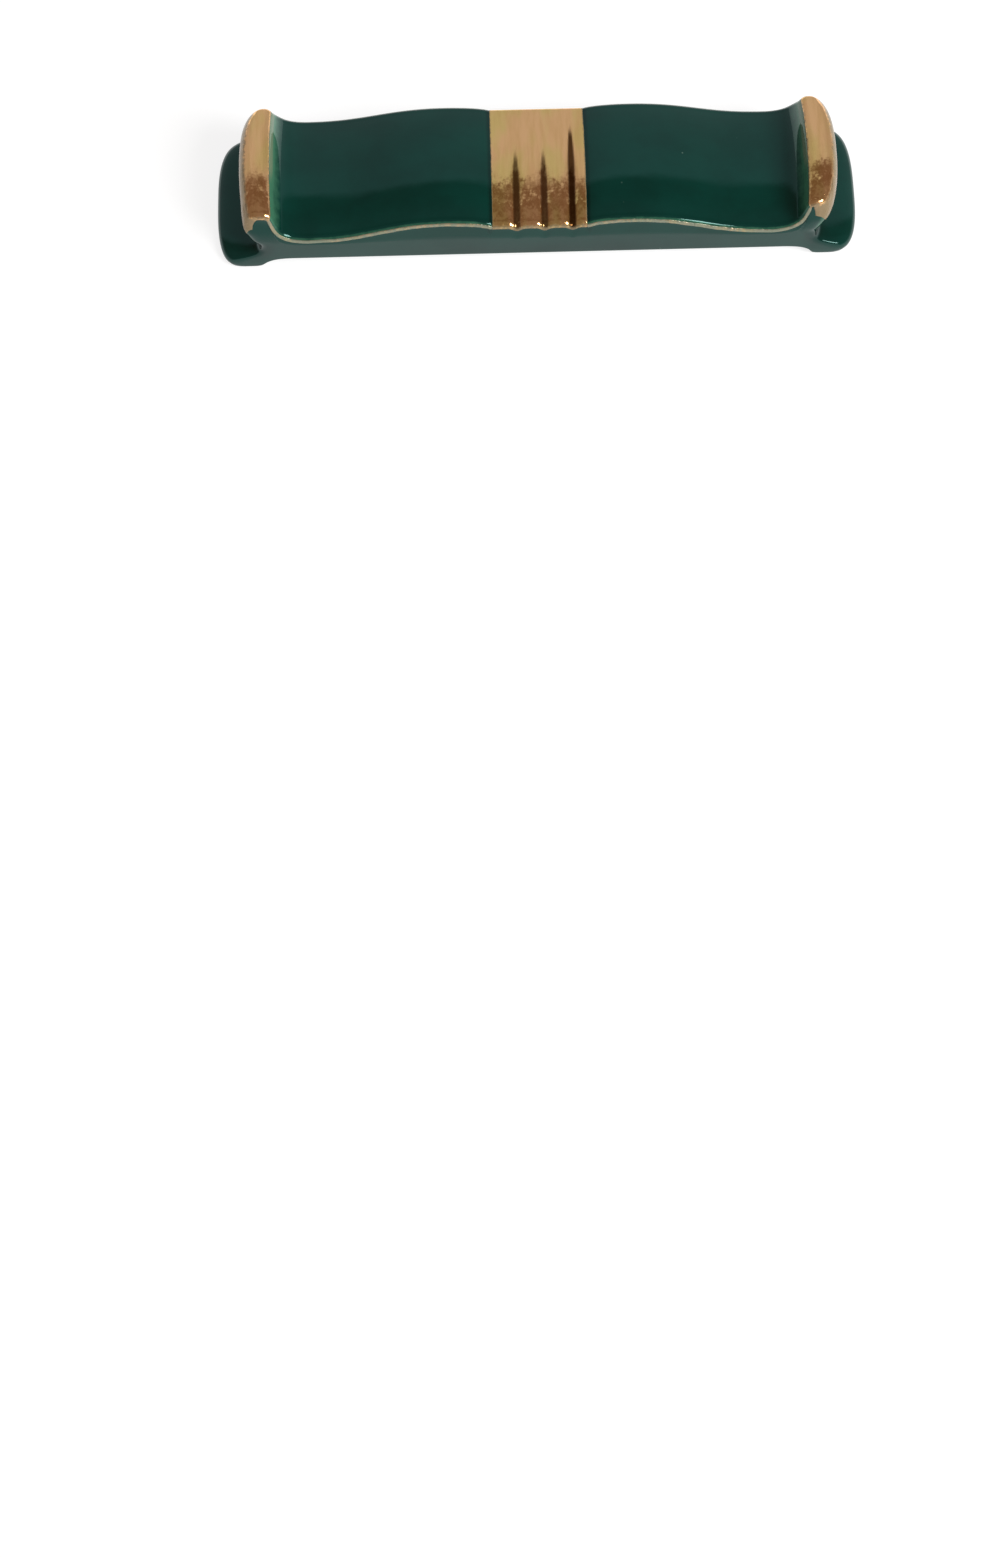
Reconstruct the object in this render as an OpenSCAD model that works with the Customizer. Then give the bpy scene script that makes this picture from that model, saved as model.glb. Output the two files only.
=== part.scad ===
// Knife rest: a cast porcelain bar on two feet, saddle-backed, with a fluted
// middle, a rolled scroll at each end, a dark green glaze and gilded details.
// X runs along the rest, Y from front to back, Z up from the table.

/* [Plan] */
// Length over both feet
length = 100; // [90:1:115]
// Width at the top edge of the humps
width = 19.8; // [17:0.2:26]
// Width lost by each scroll on either side
scroll_narrow = 0.7; // [0:0.1:2]
// How far the feet stand out beyond each side
foot_flare = 0.1; // [0:0.05:0.8]
// How far the corners of a foot lie back from its end
foot_bow = 4.6; // [2:0.1:5.4]
// How far the corners of a scroll lie back from its middle
scroll_bow = 2.9; // [1:0.1:3.6]

/* [Heights] */
// Height of the two humps
hump_height = 11.0; // [10.3:0.1:12.4]
// Height of the saddles between humps and scrolls
saddle_height = 8.0; // [7.2:0.1:9]
// Height of the fluted middle, between its grooves
band_height = 10.1; // [9.4:0.1:10.3]
// Height of the scrolls
scroll_height = 12.7; // [12:0.1:14.5]
// Height of the scroll's outermost line
lip_height = 10.0; // [9.2:0.1:10.8]
// Height of the hollow under the scroll
neck_height = 4.7; // [4.3:0.1:5.6]
// Height of the foot's outermost line
toe_height = 0.9; // [0.8:0.1:1.6]
// Rise of the underside between the feet
arch_height = 2.0; // [1:0.1:2.4]
// Height of the glazed sole above the table
sole_gap = 0.25; // [0.15:0.05:0.4]

/* [Places along the length] */
// Length of the gilded middle
band_length = 14.4; // [12:0.2:18]
// Run from the gilded middle up to a hump
hump_run = 7.0; // [5:0.2:9]
// Distance of the scroll's crest from the end
crest_inset = 7.3; // [6.4:0.1:8]
// Run from the scroll's inner edge to its crest
scroll_run = 2.7; // [1.8:0.1:3.2]
// Run from the crest to the scroll's outermost line
lip_run = 2.3; // [1.8:0.1:3]
// How far the hollow under the scroll goes back in
neck_depth = 1.7; // [1:0.1:2.2]
// Run from the low point of the saddle to the scroll
saddle_run = 5.0; // [4:0.1:8]
// Drop from the crest to the scroll's inner edge
scroll_drop = 1.2; // [0.8:0.1:1.4]

/* [Sections] */
// Fall of the top from its middle line to its edges
crown = 1.0; // [0.6:0.1:1.6]
// Rounding of the top edges
edge_radius = 0.9; // [0.7:0.05:1.2]
// Rounding of the feet's edges
sole_radius = 0.4; // [0.3:0.05:0.5]
// Height over which the sides lean in
lean_height = 3.5; // [2:0.5:4]
// How far the sides lean in over that height
lean_width = 0.4; // [0:0.05:0.6]
// Depth of the three grooves at the front edge
groove_depth = 0.6; // [0.2:0.05:0.7]
// Distance from one groove to the next
groove_pitch = 4.2; // [3.6:0.1:5]
// Distance of the middle groove from the middle of the rest
groove_shift = 0.8; // [-1.2:0.1:1.2]

/* [Layers] */
// Thickness of the glaze
glaze_thickness = 0.3; // [0.2:0.02:0.36]
// Thickness of the gilding
gilding_thickness = 0.12; // [0.08:0.02:0.2]

/* [Feet] */
// Run from the end of the foot to the dry patch under it
pad_inset = 1.3; // [1.2:0.1:1.6]
// Length of the dry patch that stands on the table
pad_length = 2.6; // [2.4:0.2:4]
// Run from the dry patch up to the arched underside
arch_run = 8; // [6:0.5:9]
// Run over which the feet widen
flare_run = 6.5; // [5:0.5:7.5]
// Distance from the end at which the feet are widest
flare_inset = 4.0; // [3:0.5:5]

/* [Hidden] */

// Where along its own stretch each change of section starts
narrow_share = 0.25;
bow_share = 0.4;
waist_share = 0.5;
// Middle row of a side wall: how far in it ends, and its heights under the top and behind the foot
web_share = 0.97;
middle_share = 0.45;
web_height_share = 0.66;
// Place of the points half way along the dry patch and along the arch
sole_share = 0.5;
// Thickness of the glaze on the feet, as a share of that higher up
thin_share = 0.4;

// Where across the width the grooves reach their full depth and where they run out
full_share = -0.85;
reach_share = 0.45;
groove_count = 3;

// Places worked out from the sizes above
end_x = length / 2;
band_x = band_length / 2;
hump_x = band_x + hump_run;
crest_x = end_x - crest_inset;
inner_x = crest_x - scroll_run;
saddle_x = inner_x - saddle_run;
lip_x = crest_x + lip_run;
neck_x = lip_x - neck_depth;
inner_z = scroll_height - scroll_drop;
pad_x = end_x - pad_inset;
heel_x = pad_x - pad_length;
arch_x = heel_x - arch_run;
flare_x = end_x - flare_inset;
bow_x = mix(saddle_x, lip_x, bow_share);
narrow_z = saddle_height + narrow_share * (scroll_height - saddle_height);
waist_top = neck_height + waist_share * (lip_height - neck_height);
waist_low = neck_height - waist_share * (neck_height - toe_height);
web_x = web_share * inner_x;
web_z = web_height_share * neck_height;

// Handles of the outline's curves, as shares of each curve's run and rise
hump_shares = [[0.14, 0.55], [0.5, 0]];
saddle_shares = [[0.42, 0], [0.42, 0]];
sweep_shares = [[0.62, 0], [0.16, 0.7]];
inner_shares = [[0.12, 0.85], [0.5, 0]];
lip_shares = [[0.59, 0], [0, 0.52]];
neck_shares = [[0, 0.32], [0, 0.32]];
foot_shares = [[0, 0.5], [0, 0.55]];
toe_shares = [[0, 0.57], [0.6, 0]];
arch_shares = [[0.38, 0], [0.54, 0]];

// Numbers of points along the outline's curves
band_steps = 24;
hump_steps = 5;
saddle_steps = 6;
sweep_steps = 6;
inner_steps = 3;
lip_steps = 4;
neck_steps = 4;
foot_steps = 6;
toe_steps = 3;
arch_steps = 4;

// Powers of the crown across the width, of the ends in plan and of the grooves
crown_power = 2.2;
scroll_power = 2.5;
foot_power = 3;
groove_power = 4;

// Slices from front to back: share of the flat width, then angle round the edge
SLICES = [[-1, 90], [-1, 45], [-1, 0], [-0.88, 0], [-0.7, 0], [-0.4, 0], [0, 0],
    [0.4, 0], [0.7, 0], [0.88, 0], [1, 0], [1, 45], [1, 90]];
last = len(SLICES) - 1;
// First slice of the dry patch, counted from either side, and its squares along the rest
pad_slice = 4;
pad_steps = 2;

function ramp(a, b, v) = let(t = min(max((v - a) / (b - a), 0), 1)) t * t * (3 - 2 * t);
function mix(a, b, t) = a + (b - a) * t;
function unit(v) = v / norm(v);

// One curve from a to b, without its last point
function curve(a, b, shares, steps) = let(
        d = b - a,
        p = a + [shares[0].x * d.x, shares[0].y * d.y],
        q = b - [shares[1].x * d.x, shares[1].y * d.y])
    [for (k = [0 : steps - 1]) let(t = k / steps, s = 1 - t)
        s * s * s * a + 3 * s * s * t * p + 3 * s * t * t * q + t * t * t * b];

// Depth of the grooves, which are pressed in from the front and run out towards the back
function groove(x, share) = let(off = (x - groove_shift) / groove_pitch)
    abs(off) < groove_count / 2
    ? groove_depth * pow(abs(cos(180 * off)), groove_power) * ramp(reach_share, full_share, share) : 0;

// Outline from the edge of the middle to the end, and back along the underside
side = concat(
    curve([band_x, band_height], [hump_x, hump_height], hump_shares, hump_steps),
    curve([hump_x, hump_height], [saddle_x, saddle_height], saddle_shares, saddle_steps),
    curve([saddle_x, saddle_height], [inner_x, inner_z], sweep_shares, sweep_steps),
    curve([inner_x, inner_z], [crest_x, scroll_height], inner_shares, inner_steps),
    curve([crest_x, scroll_height], [lip_x, lip_height], lip_shares, lip_steps),
    curve([lip_x, lip_height], [neck_x, neck_height], neck_shares, neck_steps),
    curve([neck_x, neck_height], [end_x, toe_height], foot_shares, foot_steps),
    curve([end_x, toe_height], [pad_x, sole_gap], toe_shares, toe_steps),
    [[pad_x, sole_gap], [mix(pad_x, heel_x, sole_share), sole_gap]],
    curve([heel_x, sole_gap], [arch_x, arch_height], arch_shares, arch_steps),
    [[arch_x, arch_height], [mix(arch_x, 0, sole_share), arch_height]]);

// Places of the outline's features, counted from the edge of the middle
inner_at = hump_steps + saddle_steps + sweep_steps;
neck_at = inner_at + inner_steps + lip_steps + neck_steps;
toe_at = neck_at + foot_steps;
pad_at = toe_at + toe_steps;
gilt_end = inner_at + inner_steps + lip_steps + 1;

side_count = len(side);
outline = concat(
    [for (k = [0 : band_steps - 1]) [mix(-band_x, band_x, k / band_steps), band_height]],
    side,
    [[0, arch_height]],
    [for (k = [side_count - 1 : -1 : 1]) [-side[k].x, side[k].y]]);
count = len(outline);

function wrap(i) = (i + count) % count;
// Outward direction of the outline at one of its points
function facing(i) = let(d = outline[wrap(i + 1)] - outline[wrap(i - 1)]) unit([-d.y, d.x]);

// Half the width at a place on the outline
function half_width(x, z) = let(far = abs(x))
    width / 2
    + lean_width * min(max(hump_height - z, 0) / lean_height, 1)
    - scroll_narrow * ramp(narrow_z, scroll_height, z) * ramp(saddle_x, inner_x, far)
    + foot_flare * ramp(flare_x - flare_run, flare_x, far) * ramp(neck_height, toe_height, z);

// The ends are bowed in plan: how far a point at this share of the width lies back
function set_back(x, z, share) = let(
        up = ramp(waist_low, waist_top, z),
        start = mix(inner_x, bow_x, up),
        finish = mix(end_x, lip_x, up),
        power = mix(foot_power, scroll_power, up))
    sign(x) * ramp(start, finish, abs(x)) * mix(foot_bow, scroll_bow, up)
    * (1 - pow(1 - pow(min(share, 1), power), 1 / power));

// One point of the surface
function skin_point(i, slice) = let(
        p = outline[i],
        n = facing(i),
        half = half_width(p.x, p.y),
        radius = mix(sole_radius, edge_radius, ramp(waist_low, waist_top, p.y)),
        away = abs(slice[0]),
        y = away * (half - radius) + radius * sin(slice[1]),
        fall = (crown * pow(away, crown_power) + groove(p.x, slice[0]))
            * ramp(neck_height, saddle_height, p.y),
        q = p - radius * (1 - cos(slice[1])) * n)
    [q.x - set_back(p.x, p.y, y / half), sign(slice[0]) * y, q.y - fall];

// The surface as rows of points, one row to a slice, and the way each point faces
skin = [for (s = SLICES) [for (i = [0 : count - 1]) skin_point(i, s)]];
function normal(i, j) = j == 0 ? [0, -1, 0] : j == last ? [0, 1, 0]
    : unit(cross(skin[j][wrap(i + 1)] - skin[j][wrap(i - 1)], skin[j + 1][i] - skin[j - 1][i]));
normals = [for (j = [0 : last]) [for (i = [0 : count - 1]) normal(i, j)]];

// Each side wall has a top row and a bottom row between its two tips, and a middle row
left_tip = count - toe_at;
right_tip = band_steps + toe_at;
top_count = band_steps + 2 * toe_at;
low_count = left_tip - right_tip;
function top_at(k) = wrap(left_tip + k);
function low_at(k) = left_tip - k;
// How many steps a place on the top row is from the nearer edge of the gilded middle
function steps_out(k) = k <= toe_at ? toe_at - k : max(k - toe_at - band_steps, 0);
function middle_xz(k) = let(
        p = outline[top_at(k)],
        out = steps_out(k),
        web = (out - inner_at) / (neck_at - inner_at),
        toe = (out - neck_at) / (toe_at - neck_at))
    out <= inner_at ? [web_share * p.x, middle_share * p.y]
    : out <= neck_at ? [sign(p.x) * web_x, mix(middle_share * inner_z, web_z, web)]
    : [sign(p.x) * mix(web_x, end_x, toe), mix(web_z, toe_height, toe)];
// The middle row of one wall, without its tips
function middle_row(way) = [for (k = [1 : top_count - 1]) let(p = middle_xz(k))
    [p.x - set_back(p.x, p.y, 1), way * half_width(p.x, p.y), p.y]];

// The glaze is thinner on the feet
function cover(z) = mix(thin_share, 1, ramp(waist_low, waist_top, z));
// All points of the skin, moved in from the surface by a depth
function skin_points(depth) = concat(
    [for (j = [0 : last]) for (i = [0 : count - 1])
        skin[j][i] - depth * cover(outline[i].y) * normals[j][i]],
    [for (p = middle_row(-1)) p + [0, depth * cover(p.z), 0]],
    [for (p = middle_row(1)) p - [0, depth * cover(p.z), 0]]);

function at(i, j) = j * count + wrap(i);
function middle_at(k, j) = k == 0 || k == top_count ? at(top_at(k), j)
    : count * len(SLICES) + (j == 0 ? 0 : top_count - 1) + k - 1;
function split(a, b, c, d) = [[a, b, c], [a, c, d]];
function flip(f) = [for (t = f) [t[2], t[1], t[0]]];
function shift(f, by) = [for (t = f) [for (v = t) v + by]];
function whole(f) = [for (t = f) if (t[0] != t[1] && t[1] != t[2] && t[2] != t[0]) t];

// The dry patches: squares of the surface between two slices under each foot
function in_pad(i, j) = let(k = i < band_steps + side_count ? i - band_steps : count - i - 1)
    j >= pad_slice && j < last - pad_slice && k >= pad_at && k < pad_at + pad_steps;
function square(i, j) = split(at(i, j), at(i, j + 1), at(i + 1, j + 1), at(i + 1, j));
skin_squares = [for (j = [0 : last - 1]) for (i = [0 : count - 1]) if (!in_pad(i, j)) each square(i, j)];
pad_squares = [for (j = [0 : last - 1]) for (i = [0 : count - 1]) if (in_pad(i, j)) each square(i, j)];

// The point of the bottom row that lies nearest to a point of the middle row, along the rest
function low_below(k) = k == 0 ? 0 : k == top_count ? low_count
    : let(x = middle_xz(k).x)
    max([for (m = [0 : low_count - 1])
        if (m == 0 || outline[low_at(m)].x + outline[low_at(m - 1)].x < x + x) m]);
low_under = [for (k = [0 : top_count]) low_below(k)];
function wall(j) = whole([for (k = [0 : top_count - 1]) each concat(
    split(at(top_at(k), j), at(top_at(k + 1), j), middle_at(k + 1, j), middle_at(k, j)),
    [[middle_at(k, j), middle_at(k + 1, j), at(low_at(low_under[k]), j)]],
    [for (m = [low_under[k] : 1 : low_under[k + 1] - 1])
        [middle_at(k + 1, j), at(low_at(m + 1), j), at(low_at(m), j)]])]);
skin_faces = concat(skin_squares, wall(0), flip(wall(last)));

// Edges of the dry patches, each with the patch on its right
pad_edges = [for (j = [0 : last - 1]) for (i = [0 : count - 1]) if (in_pad(i, j)) each concat(
    in_pad(i, j - 1) ? [] : [[at(i + 1, j), at(i, j)]],
    in_pad(i, j + 1) ? [] : [[at(i, j + 1), at(i + 1, j + 1)]],
    in_pad(i - 1, j) ? [] : [[at(i, j), at(i, j + 1)]],
    in_pad(i + 1, j) ? [] : [[at(i + 1, j + 1), at(i + 1, j)]])];
// A strip of wall that joins those edges on one copy of the skin to the same edges on another
function strip(edges, from, to) = [for (e = edges)
    each split(e[0] + from, e[1] + from, e[1] + to, e[0] + to)];

// A leaf of gilding on the surface: columns a to b of the outline, rows c to d
module leaf(a, b, c, d) {
    far_i = b - a;
    far_j = d - c;
    cells = [for (j = [c : d]) for (i = [a : b]) [wrap(i), j]];
    under = [for (v = cells) skin[v[1]][v[0]]];
    over = [for (v = cells) skin[v[1]][v[0]] + gilding_thickness * normals[v[1]][v[0]]];
    function spot(i, j) = j * (far_i + 1) + i;
    sheet = [for (j = [0 : far_j - 1]) for (i = [0 : far_i - 1])
        each split(spot(i, j), spot(i, j + 1), spot(i + 1, j + 1), spot(i + 1, j))];
    rim = concat(
        [for (i = [0 : far_i - 1]) [spot(i, 0), spot(i + 1, 0)]],
        [for (j = [0 : far_j - 1]) [spot(far_i, j), spot(far_i, j + 1)]],
        [for (i = [far_i : -1 : 1]) [spot(i, far_j), spot(i - 1, far_j)]],
        [for (j = [far_j : -1 : 1]) [spot(0, j), spot(0, j - 1)]]);
    total = len(cells);
    polyhedron(concat(under, over), concat(flip(sheet), shift(sheet, total), strip(rim, total, 0)));
}

module biscuit_body() {
    total = len(skin_points(0));
    low = [for (p = skin_points(0)) [p.x, p.y, 0]];
    color("ivory") polyhedron(
        concat(skin_points(glaze_thickness), skin_points(0), low),
        concat(skin_faces, strip(pad_edges, 0, total), strip(pad_edges, total, 2 * total),
            shift(pad_squares, 2 * total)));
}

module glaze_coat() {
    total = len(skin_points(0));
    color("darkgreen") polyhedron(
        concat(skin_points(0), skin_points(glaze_thickness)),
        concat(skin_faces, shift(flip(skin_faces), total), strip(pad_edges, 0, total)));
}

module gilt_band() {
    color("goldenrod") leaf(0, band_steps, 0, last);
}

module gilt_scroll_right() {
    color("goldenrod") leaf(band_steps + inner_at, band_steps + gilt_end, 0, last);
}

module gilt_scroll_left() {
    color("goldenrod") leaf(-gilt_end, -inner_at, 0, last);
}

module gilt_line_front_right() {
    color("goldenrod") leaf(band_steps, band_steps + inner_at, 0, 1);
}

module gilt_line_front_left() {
    color("goldenrod") leaf(-inner_at, 0, 0, 1);
}

module gilt_line_back_right() {
    color("goldenrod") leaf(band_steps, band_steps + inner_at, last - 1, last);
}

module gilt_line_back_left() {
    color("goldenrod") leaf(-inner_at, 0, last - 1, last);
}

biscuit_body();
glaze_coat();
gilt_band();
gilt_scroll_left();
gilt_scroll_right();
gilt_line_front_left();
gilt_line_front_right();
gilt_line_back_left();
gilt_line_back_right();
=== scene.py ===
"""Looks of a porcelain knife rest: dark green glaze, gold lustre, unglazed feet.

Sizes are in millimetres at the top of the script. The scene and its stage are in metres.
"""

import math

import bpy
import numpy as np
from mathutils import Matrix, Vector


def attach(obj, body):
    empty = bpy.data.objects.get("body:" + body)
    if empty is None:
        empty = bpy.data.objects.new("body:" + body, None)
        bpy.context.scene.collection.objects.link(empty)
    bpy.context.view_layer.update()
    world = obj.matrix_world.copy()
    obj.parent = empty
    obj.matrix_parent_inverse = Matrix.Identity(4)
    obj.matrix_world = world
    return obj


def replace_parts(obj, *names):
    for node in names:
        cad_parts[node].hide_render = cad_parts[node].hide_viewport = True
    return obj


MM = 0.001
QUARTER = math.pi / 2

# Plan and heights of the rest, in millimetres
LENGTH = 100.0
WIDTH = 19.8
SCROLL_NARROW = 0.7
FOOT_FLARE = 0.1
FOOT_BOW = 4.6
SCROLL_BOW = 2.9
HUMP_HEIGHT = 11.0
SADDLE_HEIGHT = 8.0
BAND_HEIGHT = 10.1
SCROLL_HEIGHT = 12.7
LIP_HEIGHT = 10.0
NECK_HEIGHT = 4.7
TOE_HEIGHT = 0.9
ARCH_HEIGHT = 2.0
SOLE_GAP = 0.25

# Places along the length, in millimetres
BAND_LENGTH = 14.4
HUMP_RUN = 7.0
CREST_INSET = 7.3
SCROLL_RUN = 2.7
LIP_RUN = 2.3
NECK_DEPTH = 1.7
SADDLE_RUN = 5.0
SCROLL_DROP = 1.2
PAD_INSET = 1.3
PAD_LENGTH = 2.6
ARCH_RUN = 8.0
FLARE_RUN = 6.5
FLARE_INSET = 4.0

# Sections, in millimetres
CROWN = 1.0
EDGE_RADIUS = 0.9
SOLE_RADIUS = 0.4
LEAN_HEIGHT = 3.5
LEAN_WIDTH = 0.4

# Grooves: depth, pitch and shift in millimetres, and how many
GROOVE_DEPTH = 0.6
GROOVE_PITCH = 4.2
GROOVE_SHIFT = 0.8
GROOVE_COUNT = 3
# Where they start and are full, as shares of half the width, and how much further the last one reaches
GROOVE_REACH = 0.45
GROOVE_FULL = -0.85
GROOVE_EXTRA = 0.25
# The last one counts as such between these places, in pitches from the middle one
LAST_GROOVE_FROM = 0.4
LAST_GROOVE_AT = 1.0

# Gilding, in millimetres: how far it stands up, how far its edge sinks in, its wobble
GILT_LIFT = 0.035
GILT_SINK = 0.03
GILT_WOBBLE = 0.07
LINE_LIFT = 0.02
LINE_WOBBLE = 0.2
# Share by which a scroll's gilding draws back as it runs round the edge
DRAWN_BACK = 0.2
# Angles round the edge that the gold line covers, in degrees
LINE_ANGLES = (90, 85, 80, 75, 70, 65, 60, 54, 48)

# How much fuller the front of the left end is, as a share of each bow, and where across it starts
SCROLL_EASE = 0.62
FOOT_EASE = 0.14
EASE_FROM = 0.2

# Powers of the curves
CROWN_POWER = 2.2
SCROLL_POWER = 2.5
FOOT_POWER = 3.0
GROOVE_POWER = 7.0

# Shares of the sizes, for the scroll's narrowing, the bow, the waist and the side wall's points
NARROW_SHARE = 0.25
BOW_SHARE = 0.4
WAIST_SHARE = 0.5
WEB_SHARE = 0.97
LOW_SHARE = 0.95
WEB_HEIGHT_SHARE = 0.66
MIDDLE_SHARE = 0.45

# Places worked out from the sizes above
END_X = LENGTH / 2
BAND_X = BAND_LENGTH / 2
HUMP_X = BAND_X + HUMP_RUN
CREST_X = END_X - CREST_INSET
INNER_X = CREST_X - SCROLL_RUN
SADDLE_X = INNER_X - SADDLE_RUN
LIP_X = CREST_X + LIP_RUN
NECK_X = LIP_X - NECK_DEPTH
INNER_Z = SCROLL_HEIGHT - SCROLL_DROP
PAD_X = END_X - PAD_INSET
HEEL_X = PAD_X - PAD_LENGTH
ARCH_X = HEEL_X - ARCH_RUN
FLARE_X = END_X - FLARE_INSET
NARROW_Z = SADDLE_HEIGHT + NARROW_SHARE * (SCROLL_HEIGHT - SADDLE_HEIGHT)
BOW_X = SADDLE_X + BOW_SHARE * (LIP_X - SADDLE_X)
WAIST_TOP = NECK_HEIGHT + WAIST_SHARE * (LIP_HEIGHT - NECK_HEIGHT)
WAIST_LOW = NECK_HEIGHT - WAIST_SHARE * (NECK_HEIGHT - TOE_HEIGHT)
WEB_X = WEB_SHARE * INNER_X
WEB_Z = WEB_HEIGHT_SHARE * NECK_HEIGHT

# Paler glaze, thin on the edges and with a painted highlight along the scrolls: its share on the edges, up
# to the scroll and beside the band, and how much less highlight is painted in front
THIN_ON_EDGE = 0.6
PALE_ON_RISE = 0.66
PALE_BESIDE_BAND = 0.3
HIGHLIGHT_LESS = 0.2
HIGHLIGHT_LESS_AT = -0.6
# Its reach from the scroll, from the saddle and from the band, in millimetres
RIDGE_REACH = 0.95
RISE_START = 2.6
BESIDE_START = 3.5
BESIDE_FULL = 0.6
# Angles round the edge where it ends and is full, in degrees
THIN_END_ANGLE = 80
THIN_FULL_ANGLE = 35

# Thick glaze at the neck and beside the band, and painted shade low in the middle of the side wall, in
# millimetres
NECK_SPREAD = 1.6
STEP_GAP = 0.15
STEP_SPREAD = 0.25
WALL_SHADE_END = 30.0
WALL_SHADE_FULL = 8.0
WALL_SHADE_TOP = 8.0
WALL_SHADE_LOW = 1.0

# Painted dark reflection in the bottoms of the grooves, as shares: where it starts and is full, its width
# and its colour
SHADE_DELAY = 0.1
SHADE_EXTRA = 0.45
SHADE_RUN = 0.9
SHADE_NARROWEST = 0.004
SHADE_WIDENING = 0.11
SHADE_SOFT = 0.3
SHADE_DEPTH = 0.8
SHADE_MORE = 0.2
SHADE_FADE = 0.3

# Front part of the gilding, which is dented, as shares of half the width
DENTS_START = -0.5
DENTS_FULL = -0.85

# Worn rim of the gilding, with a painted dimming of its reflection round the edge: points from its edge, its
# share on the rounded edge and the angles there
RIM_POINTS = 3
RIM_ON_EDGE = 0.75
RIM_START_ANGLE = 15
RIM_FULL_ANGLE = 60
# Its share on the outer side of a scroll, where a dimming of the reflection is painted, and where that
# starts and is full, in millimetres
RIM_OUTSIDE = 0.95
RIM_PAST_CREST = 0.2
RIM_BEFORE_LIP = 0.5

# Points along each stretch of the outline, from the gilded middle outwards
BAND_STEPS = 96
HUMP_STEPS = 18
SADDLE_STEPS = 36
SWEEP_STEPS = 18
INNER_STEPS = 9
LIP_STEPS = 14
NECK_STEPS = 14
FOOT_STEPS = 22
# Points along each stretch of the underside
FLAT_STEPS = 40
ARCH_STEPS = 24
TOE_STEPS = 16
# Rows across the top, round each edge, and down each half of a side wall
ACROSS_ROWS = 36
EDGE_ROWS = 9
WALL_ROWS = 9
# How evenly the rows across the top are spaced: less than 1 brings them closer at the edges
EVEN_SHARE = 0.65
# A column this close to a point of the loop counts as being on it
ON_POINT = 0.001
# Half the width of a flat template, in millimetres
TEMPLATE_HALF = 10.0

# Points of the top's outline, counted from the edge of the gilded middle
INNER_AT = HUMP_STEPS + SADDLE_STEPS + SWEEP_STEPS
LIP_AT = INNER_AT + INNER_STEPS + LIP_STEPS
NECK_AT = LIP_AT + NECK_STEPS
TOE_AT = NECK_AT + FOOT_STEPS
# The gilding starts and ends a few points past these places, and the lines start under the band
GILT_START = INNER_AT + 1
GILT_END = LIP_AT + 4
LINE_START = -1
LINE_END = INNER_AT + 6
# Columns where the band starts and ends, counted from the left tip
FIRST_BAND = TOE_AT
LAST_BAND = TOE_AT + BAND_STEPS

# Places that the top's outline runs through, from the gilded middle to the tip of the foot
TOP_PLACES = (
    (BAND_X, BAND_HEIGHT), (HUMP_X, HUMP_HEIGHT), (SADDLE_X, SADDLE_HEIGHT), (INNER_X, INNER_Z),
    (CREST_X, SCROLL_HEIGHT), (LIP_X, LIP_HEIGHT), (NECK_X, NECK_HEIGHT), (END_X, TOE_HEIGHT),
)
TOP_STEPS = (HUMP_STEPS, SADDLE_STEPS, SWEEP_STEPS, INNER_STEPS, LIP_STEPS, NECK_STEPS, FOOT_STEPS)
# Where the two handles of each stretch lie, as shares of its run and its rise
TOP_SHARES = (
    ((0.14, 0.55), (0.5, 0)),
    ((0.42, 0), (0.42, 0)),
    ((0.62, 0), (0.16, 0.7)),
    ((0.12, 0.85), (0.5, 0)),
    ((0.59, 0), (0, 0.52)),
    ((0, 0.32), (0, 0.32)),
    ((0, 0.5), (0, 0.55)),
)
ARCH_SHARES = ((0.38, 0), (0.54, 0))
TOE_SHARES = ((0, 0.57), (0.6, 0))

# Camera: the photograph's picture height in pixels and its focal length in pixels
PICTURE_HEIGHT = 1558
FOCAL_PIXELS = 1400
# The camera's sensor and place in millimetres, and its turns in degrees
SENSOR = 36.0
CAMERA_PLACE = (-9.683, -131.518, 199.568)
CAMERA_NEAR = 5.0
CAMERA_TILT = 11.0
CAMERA_TURN = -1.529

# Stage, in metres and watts
FLOOR_HALF = 1.5
WINDOW_PLACE = (0.52, -0.36, 0.48)
WINDOW_WIDTH = 0.32
WINDOW_HEIGHT = 0.36
WINDOW_POWER = 5.5
WINDOW_AIM = (0, 0, 0.008)

# Room: its share of paleness by the direction looked in, each part with where it starts and is full
FAR_START = 0.39
FAR_FULL = 0.46
FAR_SKEW = -0.02
LOW_START = 0.25
LOW_FULL = 0.08
NEAR_START = 0.30
NEAR_FULL = 0.12
NEAR_PALENESS = 0.2
SIDES_START = 0.15
SIDES_FULL = 0.6
SIDES_DIMMING = 0.2

# Colours of the glaze: as a plain one, thick and in painted shade, elsewhere, paler, as a painted highlight,
# in specks and in reflections
GLAZE_PLAIN = (0.01, 0.08, 0.055, 1)
GLAZE_THICK_AND_SHADED = (0.0005, 0.013, 0.0095, 1)
GLAZE_BODY = (0.001, 0.037, 0.027, 1)
GLAZE_PALE = (0.06, 0.2, 0.115, 1)
GLAZE_RIDGE_HIGHLIGHT = (0.24, 0.29, 0.18, 1)
GLAZE_SPECK = (0.12, 0.2, 0.16, 1)
GLAZE_SHEEN = (0.55, 1.0, 0.92, 1.0)
# Colours of the gold: as a plain one, in its drifts, its strokes, as a painted dark reflection in the
# bottoms of the grooves, and worn with a painted dimming of its reflection
GOLD_PLAIN = (0.8, 0.55, 0.25, 1)
GOLD_PEACH = (1.0, 0.57, 0.27, 1)
GOLD_OLIVE = (0.88, 0.60, 0.22, 1)
GOLD_STROKE = (0.72, 0.40, 0.13, 1)
GOLD_DARK_REFLECTION = (0.07, 0.022, 0.004, 1)
GOLD_WORN_AND_DIMMED = (0.24, 0.19, 0.11, 1)
LINE_WORN = (0.18, 0.25, 0.20, 1)
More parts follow.
